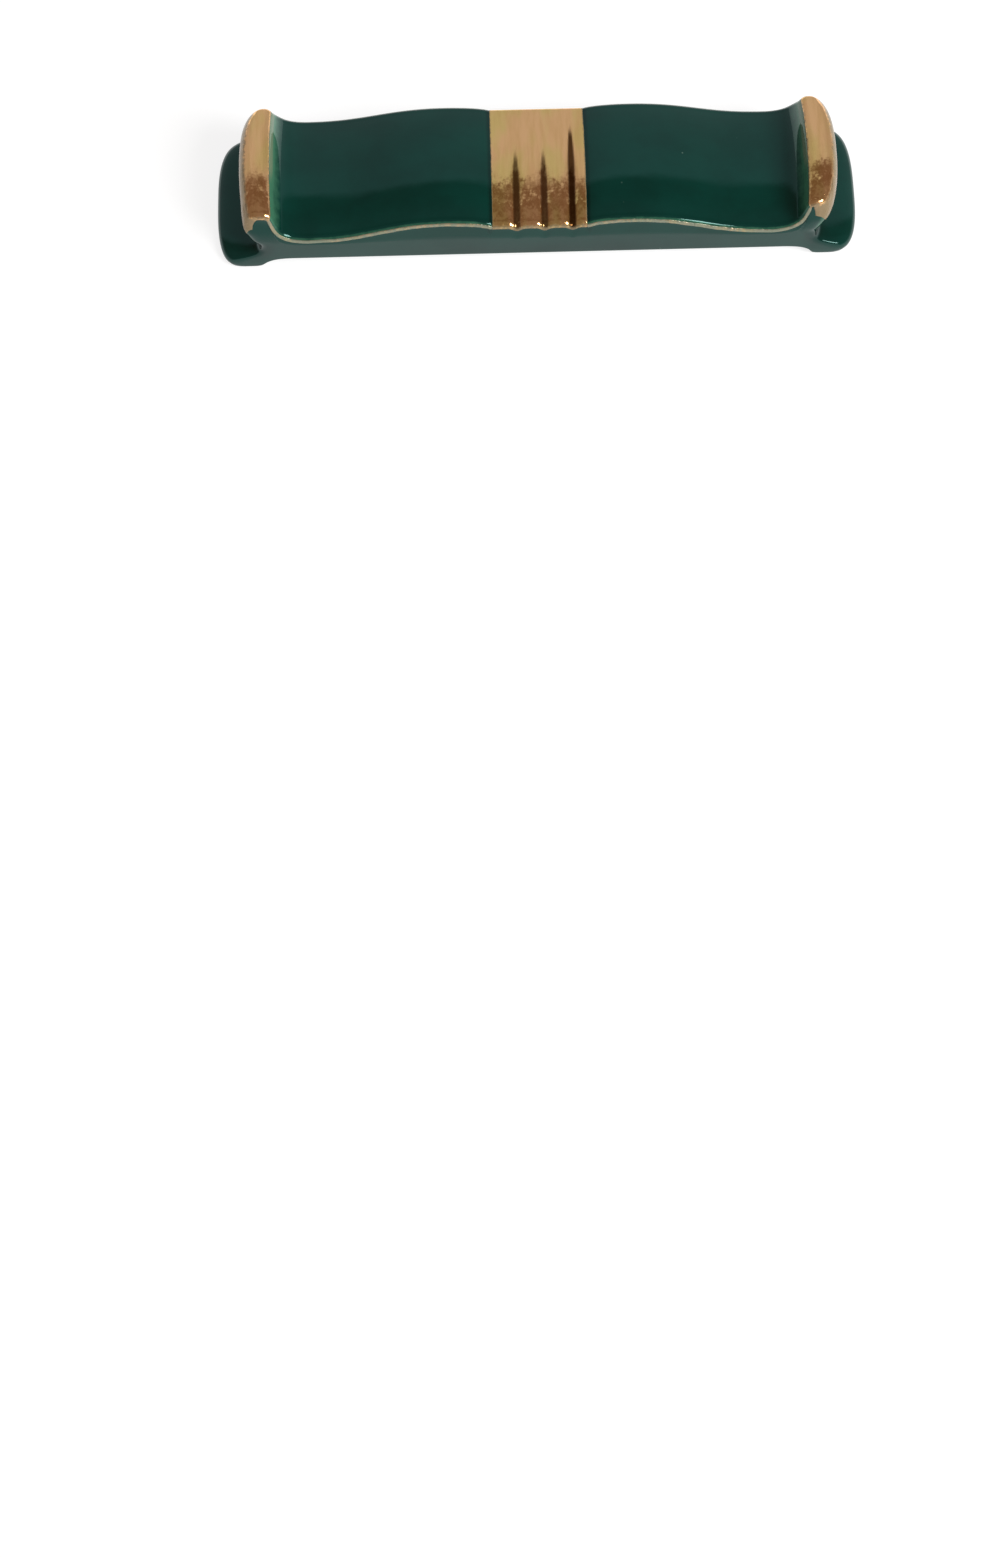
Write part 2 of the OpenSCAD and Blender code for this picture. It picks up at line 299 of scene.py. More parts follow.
# How thin the gold of the lines is: at 1 the glaze shows through all of it
LINE_THINNESS = 0.7
# Colours of the bare clay: as a plain one, in full, in its stains and in its specks
CLAY_PLAIN = (0.8, 0.74, 0.64, 1)
CLAY = (0.76, 0.70, 0.60, 1)
CLAY_STAIN = (0.46, 0.38, 0.28, 1)
CLAY_SPECK = (0.2, 0.17, 0.14, 1)
# Colours of the floor as it lights the rest and as it is seen, its glow, and the room
FLOOR_PLAIN = (0.5, 0.49, 0.47, 1)
FLOOR_SEEN = (0.36, 0.36, 0.36, 1)
FLOOR_GLOW = 0.8
ROOM_BRIGHT = (0.52, 0.55, 0.58, 1)
ROOM_DARK = (0.17, 0.125, 0.10, 1)
WHITE = (1, 1, 1, 1)
BLACK = (0, 0, 0, 1)


def mix(a, b, share):
    """From a to b by a share, for numbers and for terms."""
    return a + (b - a) * share


def ramp(a, b, value):
    """0 at a, 1 at b, smooth between them."""
    share = min(max((value - a) / (b - a), 0.0), 1.0)
    return share * share * (3 - 2 * share)


def bell(distance, spread):
    """1 in the middle, less with distance from it."""
    return math.exp(-((distance / spread) ** 2))


def share_between(k, first, last):
    return (k - first) / (last - first)


# Outline


def curve(a, b, first, second, steps):
    """Points of one curve from a to b, without its last point."""
    run, rise = b[0] - a[0], b[1] - a[1]
    p = (a[0] + first[0] * run, a[1] + first[1] * rise)
    q = (b[0] - second[0] * run, b[1] - second[1] * rise)
    points = []
    for k in range(steps):
        t = k / steps
        s = 1 - t
        weights = (s * s * s, 3 * s * s * t, 3 * s * t * t, t * t * t)
        ends = (a, p, q, b)
        points.append(tuple(sum(w * e[i] for w, e in zip(weights, ends)) for i in (0, 1)))
    return points


def top_of_one_side():
    """Outline from the edge of the gilded middle over the scroll to the tip of the foot."""
    points = []
    for start, end, shares, steps in zip(TOP_PLACES, TOP_PLACES[1:], TOP_SHARES, TOP_STEPS):
        points += curve(start, end, *shares, steps)
    return points + [TOP_PLACES[-1]]


def underside():
    """Underside from the middle to the tip of the foot, as closely spaced points."""
    points = [(ARCH_X * k / FLAT_STEPS, ARCH_HEIGHT) for k in range(FLAT_STEPS)]
    arch = curve((HEEL_X, SOLE_GAP), (ARCH_X, ARCH_HEIGHT), *ARCH_SHARES, ARCH_STEPS)
    points += [(ARCH_X, ARCH_HEIGHT)] + arch[:0:-1] + [(HEEL_X, SOLE_GAP), (PAD_X, SOLE_GAP)]
    toe = curve((END_X, TOE_HEIGHT), (PAD_X, SOLE_GAP), *TOE_SHARES, TOE_STEPS)
    return points + toe[::-1]


def middles_of_one_side(top):
    """Points half way down the side wall, one to each point of the top."""
    points = []
    for k, (x, z) in enumerate(top):
        if k <= INNER_AT:
            points.append((WEB_SHARE * x, MIDDLE_SHARE * z))
        elif k <= NECK_AT:
            share = share_between(k, INNER_AT, NECK_AT)
            points.append((WEB_X, mix(MIDDLE_SHARE * INNER_Z, WEB_Z, share)))
        else:
            share = share_between(k, NECK_AT, TOE_AT)
            points.append((mix(WEB_X, END_X, share), mix(WEB_Z, TOE_HEIGHT, share)))
    return points


def lows_of_one_side(middles):
    """Points along the underside, one to each point of the top."""
    path = np.array(underside())
    lengths = np.concatenate(([0.0], np.cumsum(np.linalg.norm(np.diff(path, axis=0), axis=1))))
    web_length = float(np.interp(WEB_X, path[:, 0], lengths))
    points = []
    for k, (x, z) in enumerate(middles):
        if k <= INNER_AT:
            place = LOW_SHARE * x / WEB_SHARE
            length = float(np.interp(place, path[:, 0], lengths))
        elif k <= NECK_AT:
            share = share_between(k, INNER_AT, NECK_AT)
            length = mix(LOW_SHARE * INNER_X, WEB_X, share) - WEB_X + web_length
        else:
            share = share_between(k, NECK_AT, TOE_AT)
            length = mix(web_length, lengths[-1], share)
        points.append(tuple(float(np.interp(length, lengths, path[:, i])) for i in (0, 1)))
    return points


def both_sides(right, band):
    """One row of points from the left tip to the right tip."""
    left = [(-x, z) for x, z in right]
    return left[::-1] + band + right


BAND_PLACES = [mix(-BAND_X, BAND_X, k / BAND_STEPS) for k in range(1, BAND_STEPS)]
RIGHT_TOP = top_of_one_side()
RIGHT_MIDDLE = middles_of_one_side(RIGHT_TOP)
RIGHT_LOW = lows_of_one_side(RIGHT_MIDDLE)
TOP = both_sides(RIGHT_TOP, [(x, BAND_HEIGHT) for x in BAND_PLACES])
MIDDLE = both_sides(RIGHT_MIDDLE, [(WEB_SHARE * x, MIDDLE_SHARE * BAND_HEIGHT) for x in BAND_PLACES])
LOW = both_sides(RIGHT_LOW, [(LOW_SHARE * x, ARCH_HEIGHT) for x in BAND_PLACES])
COLUMNS = len(TOP)
# The whole loop: over the top from left to right, and back along the underside
LOOP = TOP + LOW[-2:0:-1]
COUNT = len(LOOP)


def facing(i):
    """Outward direction of the loop at one of its points."""
    before, after = LOOP[i - 1], LOOP[(i + 1) % COUNT]
    run, rise = after[0] - before[0], after[1] - before[1]
    size = math.hypot(run, rise)
    return (-rise / size, run / size)


FACING = [facing(i) for i in range(COUNT)]


def loop_at(column):
    """Place and outward direction on the loop, also between two of its points."""
    before = int(column)
    share = column - before
    if share < ON_POINT:
        return LOOP[before], FACING[before]
    place = tuple(mix(LOOP[before][i], LOOP[before + 1][i], share) for i in (0, 1))
    direction = [mix(FACING[before][i], FACING[before + 1][i], share) for i in (0, 1)]
    size = math.hypot(*direction)
    return place, (direction[0] / size, direction[1] / size)


def crosswise_rows():
    """Rows from front to back: share of the flat width, and angle round the edge."""
    front = [(-1.0, QUARTER * (1 - k / EDGE_ROWS)) for k in range(EDGE_ROWS)]
    flat = []
    for k in range(ACROSS_ROWS + 1):
        place = 2 * k / ACROSS_ROWS - 1
        flat.append((math.sin(QUARTER * place) * (1 - EVEN_SHARE) + place * EVEN_SHARE, 0.0))
    back = [(1.0, QUARTER * k / EDGE_ROWS) for k in range(1, EDGE_ROWS + 1)]
    return front + flat + back


ROWS = crosswise_rows()


# Templates

# What each point of a template carries for its shape and for its looks
SHAPE_FIELDS = ("place_x", "place_z", "facing_x", "facing_z", "across", "turn", "hold", "lift")
# Among the looks, the thin glaze also carries a painted highlight along the scrolls, the thick glaze a
# painted shade on the side walls, the rim a painted dimming of the gold's reflection, and the groove dip a
# painted dark reflection
LOOK_FIELDS = ("rim", "thin", "pool_and_shade", "dip", "front")
FIELDS = SHAPE_FIELDS + LOOK_FIELDS


def thin_glaze_and_highlight(x, z, across, turn):
    """Where the glaze is paler: thin over rounded edges, thin with a painted highlight along the scrolls,
    and paler up to the scrolls and beside the band.
    """
    far = abs(x)
    edge = math.sin(turn * 2) ** 2 * ramp(NECK_HEIGHT, SADDLE_HEIGHT, z)
    # Thin glaze with a painted highlight along the inner side of each scroll, less of it painted in front
    ridge = bell(max(INNER_X - far, 0.0), RIDGE_REACH) * ramp(SADDLE_HEIGHT, INNER_Z, z)
    ridge *= 1 - HIGHLIGHT_LESS * ramp(0.0, HIGHLIGHT_LESS_AT, across)
    rise = PALE_ON_RISE * ramp(SADDLE_X + RISE_START, INNER_X, far) * ramp(LIP_X, CREST_X, far)
    beside_band = PALE_BESIDE_BAND * ramp(BAND_X + BESIDE_START, BAND_X + BESIDE_FULL, far)
    on_top = ramp(math.radians(THIN_END_ANGLE), math.radians(THIN_FULL_ANGLE), turn)
    on_top *= ramp(NECK_HEIGHT, SADDLE_HEIGHT, z)
    return min(1.0, max(edge * THIN_ON_EDGE, ridge * on_top, rise * on_top, beside_band * on_top))


def pooling_and_shade(x, z, wall):
    """Where the glaze lies thick, under the scrolls and beside the band, and where shade is painted low in
    the middle of the side walls.
    """
    far = abs(x)
    neck = bell(z - NECK_HEIGHT, NECK_SPREAD) * ramp(INNER_X, NECK_X, far)
    # Painted shade, darker low down in the middle of each side wall
    middle = ramp(WALL_SHADE_END, WALL_SHADE_FULL, far) * ramp(WALL_SHADE_TOP, WALL_SHADE_LOW, z) if wall else 0.0
    step = bell(far - BAND_X - STEP_GAP, STEP_SPREAD) * ramp(SADDLE_HEIGHT, BAND_HEIGHT, z)
    return min(1.0, max(neck, middle, step))


def groove_shade(x, across):
    """How dark the gold is painted at the bottom of a groove, as a dark reflection: a narrow spike that
    widens towards the front.
    """
    off = (x - GROOVE_SHIFT) / GROOVE_PITCH
    if abs(off) > GROOVE_COUNT / 2:
        return 0.0
    last = ramp(LAST_GROOVE_FROM, LAST_GROOVE_AT, off)
    start = GROOVE_REACH + SHADE_EXTRA * last - SHADE_DELAY
    down = ramp(start, start - SHADE_RUN, across)
    width = SHADE_NARROWEST + SHADE_WIDENING * down
    inside = ramp(1 - width, 1 - SHADE_SOFT * width, abs(math.cos(math.pi * off)))
    return inside * (SHADE_DEPTH + SHADE_MORE * last) * ramp(0.0, SHADE_FADE, down)


class Template:
    """A mesh that carries, at each point, the values its shape is worked out from."""

    def __init__(self):
        self.values = {name: [] for name in FIELDS}
        self.faces = []

    def add(self, place, direction, across, turn, hold=1.0, lift=0.0, rim=0.0, wall=False):
        x, z = place
        row = {
            "place_x": x * MM,
            "place_z": z * MM,
            "facing_x": direction[0],
            "facing_z": direction[1],
            "across": across,
            "turn": turn,
            "hold": hold,
            "lift": lift * MM,
            "rim": rim,
            "thin": thin_glaze_and_highlight(x, z, across, turn),
            "pool_and_shade": pooling_and_shade(x, z, wall),
            "dip": groove_shade(x, across),
            "front": ramp(DENTS_START, DENTS_FULL, across),
        }
        for name in FIELDS:
            self.values[name].append(row[name])
        return len(self.values["across"]) - 1

    def quad(self, *corners):
        """A face, unless its corners fall together on a line."""
        corners = list(dict.fromkeys(corners))
        if len(corners) > 2:
            self.faces.append(corners)

    def object(self, name):
        mesh = bpy.data.meshes.new(name)
        x, z = self.values["place_x"], self.values["place_z"]
        y = [TEMPLATE_HALF * MM * value for value in self.values["across"]]
        mesh.from_pydata(list(zip(x, y, z)), [], self.faces)
        for field in FIELDS:
            attribute = mesh.attributes.new(field, "FLOAT", "POINT")
            attribute.data.foreach_set("value", self.values[field])
        return linked(bpy.data.objects.new(name, mesh))


def linked(made):
    """Puts an object into the scene."""
    bpy.context.scene.collection.objects.link(made)
    return made


def body_template():
    """The whole glazed surface: the loop carried across the width, and two side walls."""
    made = Template()
    grid = [[made.add(LOOP[i], FACING[i], across, turn) for i in range(COUNT)] for across, turn in ROWS]
    for j in range(len(ROWS) - 1):
        for i in range(COUNT):
            after = (i + 1) % COUNT
            made.quad(grid[j][i], grid[j][after], grid[j + 1][after], grid[j + 1][i])
    for way, edge in ((-1.0, grid[0]), (1.0, grid[-1])):
        add_wall(made, way, edge)
    return made


def add_wall(made, way, edge):
    """One side wall, from the loop's top points through its middle points to its low points."""
    shares = [r / WALL_ROWS for r in range(1, WALL_ROWS + 1)]
    columns = []
    for k in range(COLUMNS):
        if k in (0, COLUMNS - 1):
            columns.append([edge[k]] * (2 * WALL_ROWS + 1))
            continue
        low = COUNT - k
        column = [edge[k]]
        for start, stretch in ((k, shares), (low, shares[-2::-1])):
            for share in stretch:
                place = tuple(mix(LOOP[start][i], MIDDLE[k][i], share) for i in (0, 1))
                column.append(made.add(place, FACING[start], way, QUARTER, hold=1 - share, wall=True))
        column.append(edge[low])
        columns.append(column)
    for near, far in zip(columns, columns[1:]):
        for r in range(2 * WALL_ROWS):
            if way < 0:
                made.quad(near[r], near[r + 1], far[r + 1], far[r])
            else:
                made.quad(near[r], far[r], far[r + 1], near[r + 1])


def leaf_template(columns_at, rows, gilt_lift):
    """A closed leaf on the surface: an upper side that stands up and an under side that is sunk in."""
    made = Template()
    wide, deep = len(columns_at(rows[0][1])), len(rows)

    def steps_in(r, c):
        return min(r, deep - 1 - r, c, wide - 1 - c)

    def rim_share(r, c, far):
        # Worn, with a painted dimming of the gold's reflection, round the edge
        on_edge = RIM_ON_EDGE * ramp(math.radians(RIM_START_ANGLE), math.radians(RIM_FULL_ANGLE), rows[r][1])
        # Painted dimming of the gold's reflection on the outer side of a scroll
        outside = RIM_OUTSIDE * ramp(CREST_X + RIM_PAST_CREST, LIP_X - RIM_BEFORE_LIP, far)
        return max(0.0, 1 - steps_in(r, c) / RIM_POINTS, on_edge, outside)

    upper, under = [], []
    for r, (across, turn) in enumerate(rows):
        upper.append([])
        under.append([])
        for c, column in enumerate(columns_at(turn)):
            place, direction = loop_at(column)
            rim = rim_share(r, c, abs(place[0]))
            if steps_in(r, c) == 0:
                point = made.add(place, direction, across, turn, lift=-GILT_SINK, rim=rim)
                upper[-1].append(point)
                under[-1].append(point)
                continue
            upper[-1].append(made.add(place, direction, across, turn, lift=gilt_lift, rim=rim))
            under[-1].append(made.add(place, direction, across, turn, lift=-2 * GILT_SINK, rim=rim))
    for r in range(deep - 1):
        for c in range(wide - 1):
            made.quad(upper[r][c], upper[r][c + 1], upper[r + 1][c + 1], upper[r + 1][c])
            made.quad(under[r][c], under[r + 1][c], under[r + 1][c + 1], under[r][c + 1])
    return made


# Node helpers

FLOAT = "NodeSocketFloat"
VECTOR = "NodeSocketVector"
GEOMETRY = "NodeSocketGeometry"
MATERIAL = "NodeSocketMaterial"
# A Mix node's share, its two colours and its result, among the sockets for its other kinds
MIX_SHARE = 0
MIX_FIRST = 6
MIX_SECOND = 7
MIX_RESULT = 2


class Term:
    """A number inside a node tree, which can be added, multiplied and so on."""

    def __init__(self, tree, socket):
        self.tree = tree
        self.socket = socket

    def calc(self, operation, *others, clamp=False):
        return calculated(self.tree, operation, self, *others, clamp=clamp)

    def __add__(self, other):
        return self.calc("ADD", other)

    def __sub__(self, other):
        return self.calc("SUBTRACT", other)

    def __rsub__(self, other):
        return calculated(self.tree, "SUBTRACT", other, self)

    def __mul__(self, other):
        return self.calc("MULTIPLY", other)

    def __truediv__(self, other):
        return self.calc("DIVIDE", other)

    def __neg__(self):
        return self.calc("MULTIPLY", -1.0)

    def inverse(self):
        return calculated(self.tree, "DIVIDE", 1.0, self)

    def power(self, other):
        return self.calc("POWER", other)

    def size(self):
        return self.calc("ABSOLUTE")

    def sign(self):
        return self.calc("SIGN")

    def rising(self, start, full):
        """0 at the start, 1 where it is full, which is a higher number, and smooth between them."""
        node = self.tree.nodes.new("ShaderNodeMapRange")
        node.interpolation_type = "SMOOTHSTEP"
        for label, value in (("Value", self), ("From Min", start), ("From Max", full)):
            feed(self.tree, node.inputs[label], value)
        return Term(self.tree, node.outputs[0])

    def falling(self, start, full):
        """0 at the start, 1 where it is full, which is a lower number, and smooth between them."""
        return (-self).rising(-start, -full)


def calculated(tree, operation, *values, clamp=False):
    """The term that comes from one operation on terms or numbers."""
    node = tree.nodes.new("ShaderNodeMath")
    node.operation = operation
    node.use_clamp = clamp
    for slot, value in zip(node.inputs, values):
        feed(tree, slot, value)
    return Term(tree, node.outputs[0])


def feed(tree, slot, value):
    """Links a term or a socket to a slot, or sets the slot's own value."""
    if isinstance(value, Term):
        tree.links.new(value.socket, slot)
    elif isinstance(value, bpy.types.NodeSocket):
        tree.links.new(value, slot)
    else:
        slot.default_value = value


def feed_all(tree, node, values):
    for label, value in values.items():
        feed(tree, node.inputs[label.replace("_", " ")], value)
    return node


def add_node(tree, kind, **values):
    """A node with some of its slots linked or set, by name."""
    return feed_all(tree, tree.nodes.new(kind), values)


def noise_in(tree, vector, scale, detail=2.0, roughness=0.5, stretch=None):
    """A noise texture, on a vector that may be stretched first."""
    if stretch is not None:
        node = tree.nodes.new("ShaderNodeVectorMath")
        node.operation = "MULTIPLY"
        feed(tree, node.inputs[0], vector)
        feed(tree, node.inputs[1], stretch)
        vector = node.outputs[0]
    noise = add_node(
        tree, "ShaderNodeTexNoise", Vector=vector, Scale=scale, Detail=detail, Roughness=roughness)
    return Term(tree, noise.outputs[0])


def colour_mix(tree, first, second, share):
    node = tree.nodes.new("ShaderNodeMix")
    node.data_type = "RGBA"
    for slot, value in ((MIX_SHARE, share), (MIX_FIRST, first), (MIX_SECOND, second)):
        feed(tree, node.inputs[slot], value)
    return node.outputs[MIX_RESULT]


def new_tree(name, kind, inputs, outputs):
    """A node tree with named inputs and outputs, its input node and its output node."""
    tree = bpy.data.node_groups.new(name, kind)
    for label, socket_type, default in inputs:
        socket = tree.interface.new_socket(label, in_out="INPUT", socket_type=socket_type)
        if default is not None:
            socket.default_value = default
    for label, socket_type in outputs:
        tree.interface.new_socket(label, in_out="OUTPUT", socket_type=socket_type)
    return tree, tree.nodes.new("NodeGroupInput"), tree.nodes.new("NodeGroupOutput")


# Shape rule

SHAPE_SIZES = {
    "Width": WIDTH,
    "Scroll narrowing": SCROLL_NARROW,
    "Foot flare": FOOT_FLARE,
    "Foot bow": FOOT_BOW,
    "Scroll bow": SCROLL_BOW,
    "Crown": CROWN,
    "Edge radius": EDGE_RADIUS,
    "Sole radius": SOLE_RADIUS,
    "Lean": LEAN_WIDTH,
    "Groove depth": GROOVE_DEPTH,
    "Groove pitch": GROOVE_PITCH,
    "Groove shift": GROOVE_SHIFT,
    "Edge wobble": 0.0,
    "Line wobble": 0.0,
}
SHAPE_SHARES = {"Scroll ease": SCROLL_EASE, "Foot ease": FOOT_EASE}


def half_width(put, far, z):
    """Half the width, which leans out downwards, narrows at the scrolls and flares at the feet."""
    half = put["Width"] * 0.5
    half = half + put["Lean"] * (HUMP_HEIGHT * MM - z).calc("DIVIDE", LEAN_HEIGHT * MM, clamp=True)
    narrow = z.rising(NARROW_Z * MM, SCROLL_HEIGHT * MM) * far.rising(SADDLE_X * MM, INNER_X * MM)
    half = half - put["Scroll narrowing"] * narrow
    flare = far.rising((FLARE_X - FLARE_RUN) * MM, FLARE_X * MM)
    flare = flare * z.falling(NECK_HEIGHT * MM, TOE_HEIGHT * MM)
    return half + put["Foot flare"] * flare


def groove_cut(put, x, across):
    """How deep the grooves are: they start behind the middle and deepen towards the front."""
    off = (x - put["Groove shift"]) / put["Groove pitch"]
    on_band = off.size().calc("LESS_THAN", GROOVE_COUNT / 2)
    wave = (off * math.pi).calc("COSINE").size().power(GROOVE_POWER) * on_band
    reach = off.rising(LAST_GROOVE_FROM, LAST_GROOVE_AT) * GROOVE_EXTRA + GROOVE_REACH
    return put["Groove depth"] * wave * across.falling(reach, GROOVE_FULL)


def bowed_back(put, x, far, across, share, waist):
    """How far the ends draw back towards their corners, less so in front on the left."""
    corner = x.falling(-SADDLE_X * MM, -LIP_X * MM) * across.falling(-EASE_FROM, -1.0)
    foot_bow = put["Foot bow"] * (1.0 - corner * put["Foot ease"])
    scroll_bow = put["Scroll bow"] * (1.0 - corner * put["Scroll ease"])
    power = waist * (SCROLL_POWER - FOOT_POWER) + FOOT_POWER
    bulge = (1.0 - share.power(power)).calc("MAXIMUM", 0.0).power(power.inverse())
    start = waist * ((BOW_X - INNER_X) * MM) + INNER_X * MM
    finish = waist * ((LIP_X - END_X) * MM) + END_X * MM
    return x.sign() * far.rising(start, finish) * mix(foot_bow, scroll_bow, waist) * (1.0 - bulge)


def wander_of_edge(tree):
    """How the edge of the gilding wanders a little along the surface, from -1 to 1."""
    position = tree.nodes.new("GeometryNodeInputPosition")
    noise = noise_in(tree, position.outputs[0], scale=380.0, detail=3.0, stretch=(1.0, 1.6, 1.0))
    return (noise - 0.5) * 2.0


def place_on_surface(tree, put):
    """Where a point of a template lies on the rest."""
    def field(name):
        node = add_node(tree, "GeometryNodeInputNamedAttribute", Name=name)
        node.data_type = "FLOAT"
        return Term(tree, node.outputs["Attribute"])

    x, z, facing_x, facing_z, across, turn, hold, lift = [field(name) for name in SHAPE_FIELDS]
    rim = field("rim")
    far, away = x.size(), across.size()
    aside, up = turn.calc("SINE"), turn.calc("COSINE")

    half = half_width(put, far, z)
    waist = z.rising(WAIST_LOW * MM, WAIST_TOP * MM)
    radius = mix(put["Sole radius"], put["Edge radius"], waist)
    y = away * (half - radius) + radius * aside
    fall = put["Crown"] * away.power(CROWN_POWER) + groove_cut(put, x, across)
    fall = fall * z.rising(NECK_HEIGHT * MM, SADDLE_HEIGHT * MM) * hold
    round_off = radius * (1.0 - up) * hold
    share = (y / half).calc("MINIMUM", 1.0)
    back = bowed_back(put, x, far, across, share, waist)

    wander = wander_of_edge(tree)
    slide = wander * put["Edge wobble"] * rim
    tuck = wander * put["Line wobble"] * rim
    return {
        "X": x - facing_x * round_off - back + facing_x * up * lift + facing_z * slide,
        "Y": across.sign() * (y + aside * lift - tuck * up),
        "Z": z - facing_z * round_off - fall + facing_z * up * lift - facing_x * slide + tuck * aside,
    }


def shape_tree():
    """Moves each point of a template to its place on the surface of the rest."""
    inputs = [("Geometry", GEOMETRY, None)]
    inputs += [(label, FLOAT, size * MM) for label, size in SHAPE_SIZES.items()]
    inputs += [(label, FLOAT, share) for label, share in SHAPE_SHARES.items()]
    inputs.append(("Material", MATERIAL, None))
    outputs = [("Geometry", GEOMETRY)]
    tree, given, result = new_tree("Surface of the rest", "GeometryNodeTree", inputs, outputs)
    put = {label: Term(tree, given.outputs[label]) for label in (*SHAPE_SIZES, *SHAPE_SHARES)}

    place = add_node(tree, "ShaderNodeCombineXYZ", **place_on_surface(tree, put))
    move = add_node(
        tree, "GeometryNodeSetPosition", Geometry=given.outputs["Geometry"], Position=place.outputs[0])
    smooth = add_node(tree, "GeometryNodeSetShadeSmooth", Geometry=move.outputs[0])
    real = add_node(tree, "GeometryNodeRealizeInstances", Geometry=smooth.outputs[0])
    paint = add_node(
        tree, "GeometryNodeSetMaterial", Geometry=real.outputs[0], Material=given.outputs["Material"])
    tree.links.new(paint.outputs[0], result.inputs["Geometry"])
    return tree


def formed(template, name, tree, material, **sizes):
    """Runs the shape rule on a template and keeps the result as a plain mesh."""
    source = template.object(name + "_template")
    modifier = source.modifiers.new("Surface", "NODES")
    modifier.node_group = tree
    sockets = [item for item in tree.interface.items_tree if item.item_type == "SOCKET"]
    key = {socket.name: socket.identifier for socket in sockets if socket.in_out == "INPUT"}
    modifier[key["Material"]] = material
    for label, value in sizes.items():
        modifier[key[label.replace("_", " ")]] = value * MM
    bpy.context.view_layer.update()
    evaluated = source.evaluated_get(bpy.context.evaluated_depsgraph_get())
    mesh = bpy.data.meshes.new_from_object(evaluated)
    mesh.name = name
    for field in SHAPE_FIELDS:
        if field in mesh.attributes:
            mesh.attributes.remove(mesh.attributes[field])
    bpy.data.objects.remove(source)
    return linked(bpy.data.objects.new(name, mesh))


# Materials


def new_group(name, numbers, outputs):
    """A shader group on a vector: its tree, its vector, its numbers by name and its output node."""
    inputs = [("Vector", VECTOR, None)] + [(label, FLOAT, value) for label, value in numbers.items()]
    tree, given, result = new_tree(name, "ShaderNodeTree", inputs, [(label, FLOAT) for label in outputs])
    put = {label: Term(tree, given.outputs[label]) for label in numbers}
    return tree, given.outputs["Vector"], put, result


def ripple_group():
    """Slow unevenness of a fired surface, and a finer skin on top of it."""
    numbers = {"Slow scale": 180.0, "Fine scale": 900.0, "Fine share": 0.2}
    tree, vector, put, result = new_group("Fired ripple", numbers, ("Height",))
    slow = noise_in(tree, vector, put["Slow scale"], detail=1.0)
    fine = noise_in(tree, vector, put["Fine scale"])
    feed(tree, result.inputs["Height"], slow + fine * put["Fine share"])
    return tree


def streak_group():
    """Brush streaks that run across the rest: thin ones, short jags and broad ones."""
    tree, vector, put, result = new_group("Brush streaks", {"Streak scale": 1500.0}, ("Height", "Mask"))
    thin = noise_in(tree, vector, put["Streak scale"], detail=3.0, roughness=0.6, stretch=(1.0, 0.1, 0.25))
    jags = noise_in(tree, vector, scale=2000.0, detail=1.0, stretch=(1.0, 0.25, 0.3))
    broad = noise_in(tree, vector, scale=520.0, stretch=(1.0, 0.16, 0.3))
    thin_height, jags_height, thin_share, broad_share = 0.5, 1.3, 0.6, 0.4
    feed(tree, result.inputs["Height"], thin * thin_height + broad + jags * jags_height)
    mask = (thin * thin_share + broad * broad_share).rising(start=0.38, full=0.62)
    feed(tree, result.inputs["Mask"], mask)
    return tree


def edge_mask_group():
    """A mask near an edge, broken up by noise: for worn gold with its painted dimming, and for paler glaze
    with its painted highlight.
    """
    numbers = {"Edge": 0.0, "Scale": 1400.0, "Breakup": 0.5}
    tree, vector, put, result = new_group("Broken edge mask", numbers, ("Mask",))
    noise = noise_in(tree, vector, put["Scale"], detail=4.0, roughness=0.65)
    mask = (put["Edge"] + (noise - 0.5) * put["Breakup"]).rising(start=0.35, full=0.85)
    feed(tree, result.inputs["Mask"], mask)
    return tree


def marks_group():
    """Roughness that varies with handling: faint smears and small specks."""
    numbers = {"Smooth": 0.05, "Rough": 0.12, "Scale": 260.0}
    tree, vector, put, result = new_group("Handling marks", numbers, ("Roughness", "Specks"))
    smear = noise_in(tree, vector, put["Scale"], detail=5.0, roughness=0.6, stretch=(1.0, 1.7, 1.0))
    smear = smear.rising(start=0.4, full=0.75)
    feed(tree, result.inputs["Roughness"], mix(put["Smooth"], put["Rough"], smear))
    cells = add_node(tree, "ShaderNodeTexVoronoi", Vector=vector, Scale=420.0)
    dots = Term(tree, cells.outputs["Distance"]).falling(start=0.075, full=0.045)
    patches = noise_in(tree, vector, scale=150.0, detail=1.0).rising(start=0.60, full=0.66)
    feed(tree, result.inputs["Specks"], dots * patches)
    return tree


def new_material(name, plain_colour, **settings):
    """A material with its tree and its shader, some of whose own numbers are set."""
    material = bpy.data.materials.new(name)
    material.use_nodes = True
    material.diffuse_color = plain_colour
    tree = material.node_tree
    return material, tree, feed_all(tree, tree.nodes["Principled BSDF"], settings)


def object_vector(tree):
    """The vector that the patterns read."""
    return tree.nodes.new("ShaderNodeTexCoord").outputs["Object"]


def add_group(tree, group, wanted, **values):
    """The wanted outputs of a group that is placed in a material with its own values."""
    node = tree.nodes.new("ShaderNodeGroup")
    node.node_tree = group
    feed_all(tree, node, values)
    return [Term(tree, node.outputs[label]) for label in wanted]


def attribute(tree, name):
    """A value that the mesh carries at each point."""
    node = tree.nodes.new("ShaderNodeAttribute")
    node.attribute_name = name
    return Term(tree, node.outputs["Fac"])


def finish_surface(tree, shader, colour, roughness, height, depth):
    """Gives the shader its colour, its roughness and a bump of some millimetres."""
    feed(tree, shader.inputs["Base Color"], colour)
    feed(tree, shader.inputs["Roughness"], roughness)
    bump = add_node(tree, "ShaderNodeBump", Distance=depth * MM, Height=height)
    feed(tree, shader.inputs["Normal"], bump.outputs[0])


